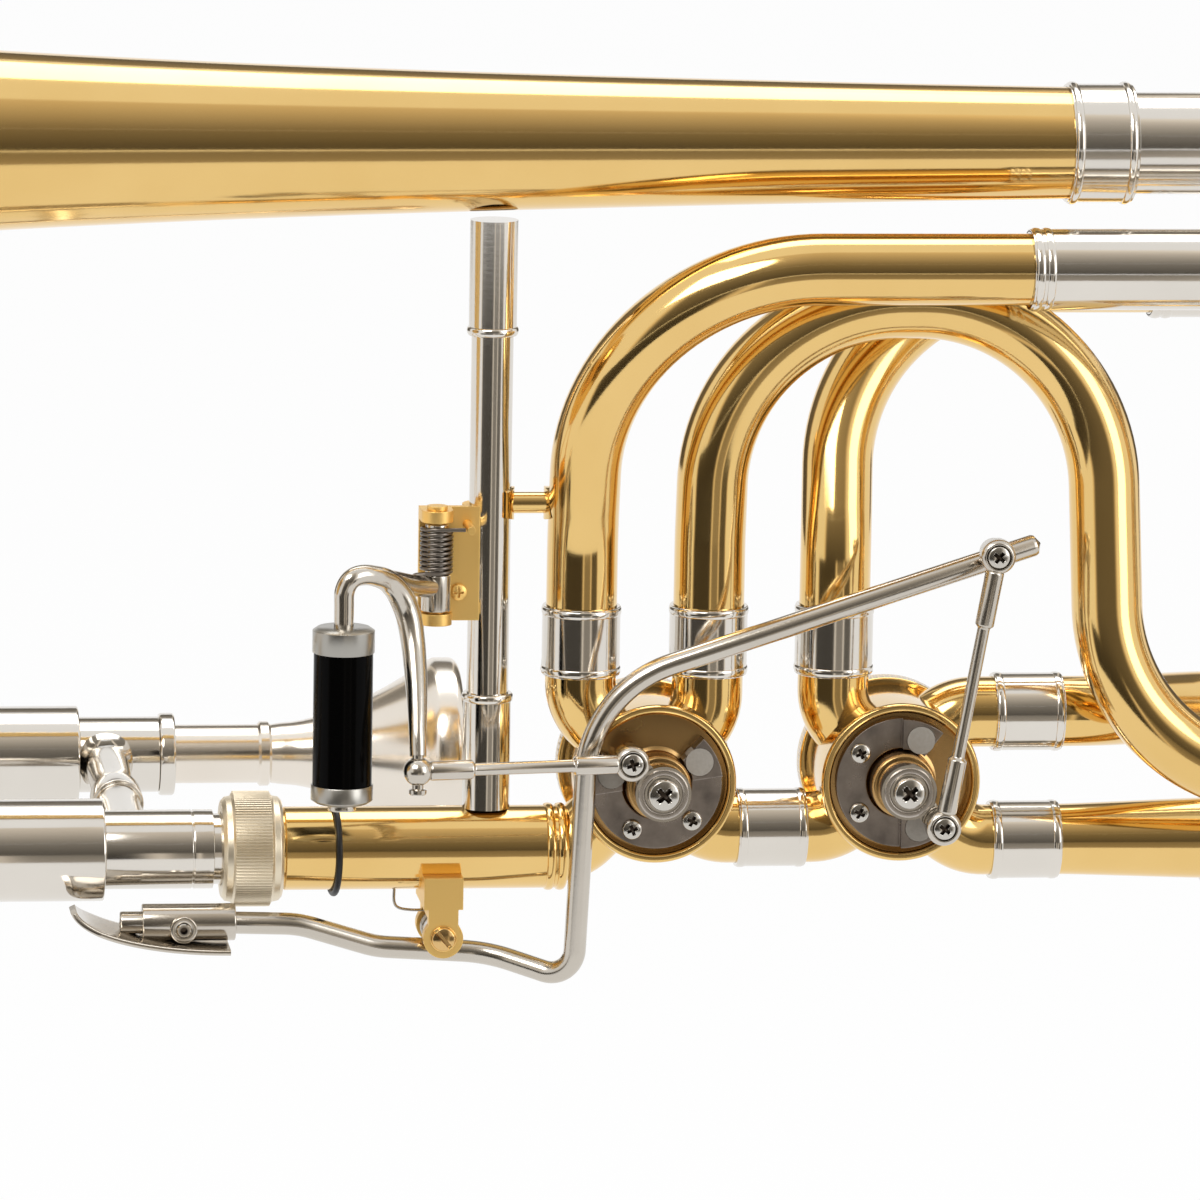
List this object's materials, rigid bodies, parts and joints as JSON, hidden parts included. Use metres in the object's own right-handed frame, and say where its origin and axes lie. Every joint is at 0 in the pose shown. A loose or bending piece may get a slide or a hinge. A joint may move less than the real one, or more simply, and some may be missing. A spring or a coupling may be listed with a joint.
{
  "type": "bass trombone",
  "caption": "Bass trombone with a wide flared bell, in-line rotary valves and their tubing loops, thumb and finger levers, hand slide, tuning slides and mouthpiece.",
  "frame": {"origin": "on the axis of the hand brace, 78 mm below the bell's axis and 75 mm above the slide receiver's axis", "axes": "+X along the instrument towards the tuning bows, with the bell's rim and the slide's crook at -X; +Y away from the valves' stop arms, towards the mouthpiece side; +Z along the hand brace, from the slide receiver up to the bell"},
  "size_m": [1.2173, 0.2456, 0.303],
  "materials": {
    "lacquered_brass": "clear lacquered, polished",
    "nickel": "polished nickel silver",
    "silver_plate": "polished silver plate",
    "rotor_brass": "turned",
    "nut_metal": "polished, knurled",
    "black_rubber": "matt",
    "black_roller": "glossy",
    "white_bumper": "matt",
    "aluminium": "turned",
    "spring_steel": "drawn wire",
    "cork": "cork"
  },
  "bodies": {
    "frame": {"bell": "lacquered_brass", "main_slide_sleeves": "nickel", "return_tube": "lacquered_brass", "slide_receiver": "lacquered_brass", "valve_casings": "lacquered_brass", "valve_caps": "lacquered_brass", "rear_bearings": "rotor_brass", "stop_plates": "nickel", "stop_bumpers": "white_bumper", "stop_plate_screws": "nickel", "valve_elbows": "lacquered_brass", "port_ferrules": "nickel", "f_upper_tube": "lacquered_brass", "f_arch_tube": "lacquered_brass", "g_upper_tube": "lacquered_brass", "g_lower_tube": "lacquered_brass", "f_slide_sleeves": "nickel", "g_slide_sleeves": "nickel", "hand_brace": "nickel", "brace_stay": "lacquered_brass", "rear_brace": "nickel", "thumb_bracket": "lacquered_brass", "bracket_pins": "nickel", "lever_2_post": "lacquered_brass", "lever_2_pivot_screw": "lacquered_brass", "o_ring": "black_rubber", "thumb_spring": "spring_steel", "lever_2_spring": "spring_steel", "slide_brace": "nickel", "cork_barrels": "nickel", "inner_slides": "nickel", "mouthpiece_receiver": "nickel"},
    "lock_nut": {"lock_nut": "nut_metal"},
    "mouthpiece": {"mouthpiece": "silver_plate"},
    "hand_slide": {"outer_slides": "lacquered_brass", "slide_crook": "lacquered_brass", "outer_slide_brace": "nickel", "crook_bumper": "black_rubber", "water_key_seat": "nickel", "water_key_spring": "spring_steel"},
    "water_key": {"water_key": "lacquered_brass", "water_key_cork": "cork"},
    "main_tuning_slide": {"main_tuning_bow": "lacquered_brass", "main_tuning_legs": "nickel"},
    "f_tuning_slide": {"f_tuning_bow": "lacquered_brass"},
    "g_tuning_slide": {"g_tuning_bow": "lacquered_brass"},
    "rotor_1": {"rotor_1": "rotor_brass", "stop_arm_1": "nickel", "hub_screw_1": "nickel"},
    "rotor_2": {"rotor_2": "rotor_brass", "stop_arm_2": "nickel", "hub_screw_2": "nickel"},
    "thumb_lever": {"thumb_lever": "nickel"},
    "thumb_roller": {"thumb_roller": "black_roller", "roller_caps": "aluminium"},
    "link_1": {"link_1": "nickel"},
    "lever_2": {"lever_2": "nickel", "paddle": "nickel", "paddle_screw": "nickel"},
    "link_2": {"link_2": "nickel"}
  },
  "joints": [
    {"name": "hand_slide", "type": "slide", "parent": "frame", "child": "hand_slide", "axis": [-1, 0, 0], "range_m": [0, 0.6]},
    {"name": "main_tuning_slide", "type": "slide", "parent": "frame", "child": "main_tuning_slide", "axis": [1, 0, 0], "range_m": [0, 0.036]},
    {"name": "f_tuning_slide", "type": "slide", "parent": "frame", "child": "f_tuning_slide", "axis": [1, 0, 0], "range_m": [0, 0.06]},
    {"name": "g_tuning_slide", "type": "slide", "parent": "frame", "child": "g_tuning_slide", "axis": [1, 0, 0], "range_m": [0, 0.06]},
    {"name": "mouthpiece", "type": "slide", "parent": "frame", "child": "mouthpiece", "axis": [1, 0, 0], "range_m": [0, 0.06]},
    {"name": "lock_nut", "type": "hinge", "parent": "frame", "child": "lock_nut", "pos_m": [-0.05, 0, -0.075], "axis": [1, 0, 0], "continuous": true},
    {"name": "water_key", "type": "hinge", "parent": "hand_slide", "child": "water_key", "pos_m": [-0.77, 0.00045, -0.08799], "axis": [0, -0.9994, -0.0349], "range_deg": [0, 10], "stiffness_Nm_per_rad": 0.05, "springref_deg": -34.38, "deforming": ["water_key_spring"]},
    {"name": "thumb_lever", "type": "hinge", "parent": "frame", "child": "thumb_lever", "pos_m": [-0.0122, -0.008, -0.015], "axis": [0, 0, 1], "range_deg": [0, 31.18], "stiffness_Nm_per_rad": 0.08, "springref_deg": -45.84, "deforming": ["thumb_spring"]},
    {"name": "thumb_roller", "type": "hinge", "parent": "thumb_lever", "child": "thumb_roller", "pos_m": [-0.0337, -0.027, -0.04], "axis": [0, 0, 1], "continuous": true},
    {"name": "rotor_1", "type": "hinge", "parent": "frame", "child": "rotor_1", "pos_m": [0.0353, 0, -0.0588], "axis": [0, 1, 0], "range_deg": [0, 90]},
    {"name": "link_1", "type": "hinge", "parent": "thumb_lever", "child": "link_1", "pos_m": [-0.0183, -0.034, -0.05159], "axis": [0, 0, 1], "range_deg": [-32, 0]},
    {"name": "lever_2", "type": "hinge", "parent": "frame", "child": "lever_2", "pos_m": [-0.0101, 0, -0.0925], "axis": [0, -1, 0], "range_deg": [0, 7.97], "stiffness_Nm_per_rad": 0.4, "springref_deg": -22.92, "deforming": ["lever_2_spring"]},
    {"name": "rotor_2", "type": "hinge", "parent": "frame", "child": "rotor_2", "pos_m": [0.0883, 0, -0.0588], "axis": [0, -1, 0], "range_deg": [0, 90]},
    {"name": "link_2", "type": "hinge", "parent": "lever_2", "child": "link_2", "pos_m": [0.1058, -0.0274, -0.0072], "axis": [0, -1, 0], "range_deg": [0, 4.55]}
  ],
  "couplings": [
    {"joint": "rotor_1", "follows": "thumb_lever", "ratio": 2.886},
    {"joint": "link_1", "follows": "thumb_lever", "ratio": -1.0237},
    {"joint": "rotor_2", "follows": "lever_2", "ratio": 11.283},
    {"joint": "link_2", "follows": "lever_2", "ratio": 0.5653}
  ]
}
